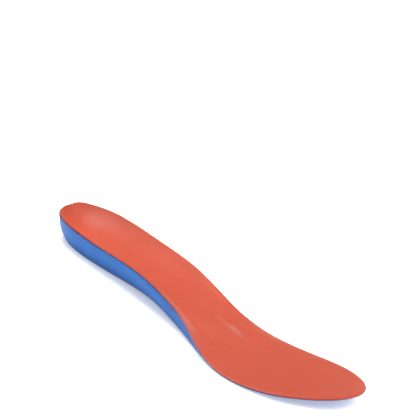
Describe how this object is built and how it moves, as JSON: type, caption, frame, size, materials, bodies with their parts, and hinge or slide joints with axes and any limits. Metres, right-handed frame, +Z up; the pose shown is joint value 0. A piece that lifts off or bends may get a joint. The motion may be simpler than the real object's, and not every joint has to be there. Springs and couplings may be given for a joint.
{
  "type": "cushioned insole",
  "caption": "Full-length cushioned left insole with a deep heel cup, raised arch, metatarsal dome and a thin flexible forefoot.",
  "frame": {"origin": "middle of the insole's bounding box, at floor level", "axes": "+X from the heel to the toes, +Y to the outer side of the left foot, +Z up"},
  "size_m": [0.2502, 0.0839, 0.0192],
  "materials": {
    "cover": "fine matt microfibre",
    "cushion_foam": "matt open-cell foam",
    "dome_foam": "matt firm foam",
    "stiffener": "matt",
    "pad_foam": "matt soft foam",
    "base_foam": "matt moulded EVA foam"
  },
  "bodies": {
    "root": {"top_cover": "cover", "cushion_layer": "cushion_foam", "metatarsal_dome": "dome_foam", "arch_stiffener": "stiffener", "heel_pad": "pad_foam", "ball_pad": "pad_foam", "base": "base_foam"}
  },
  "joints": []
}
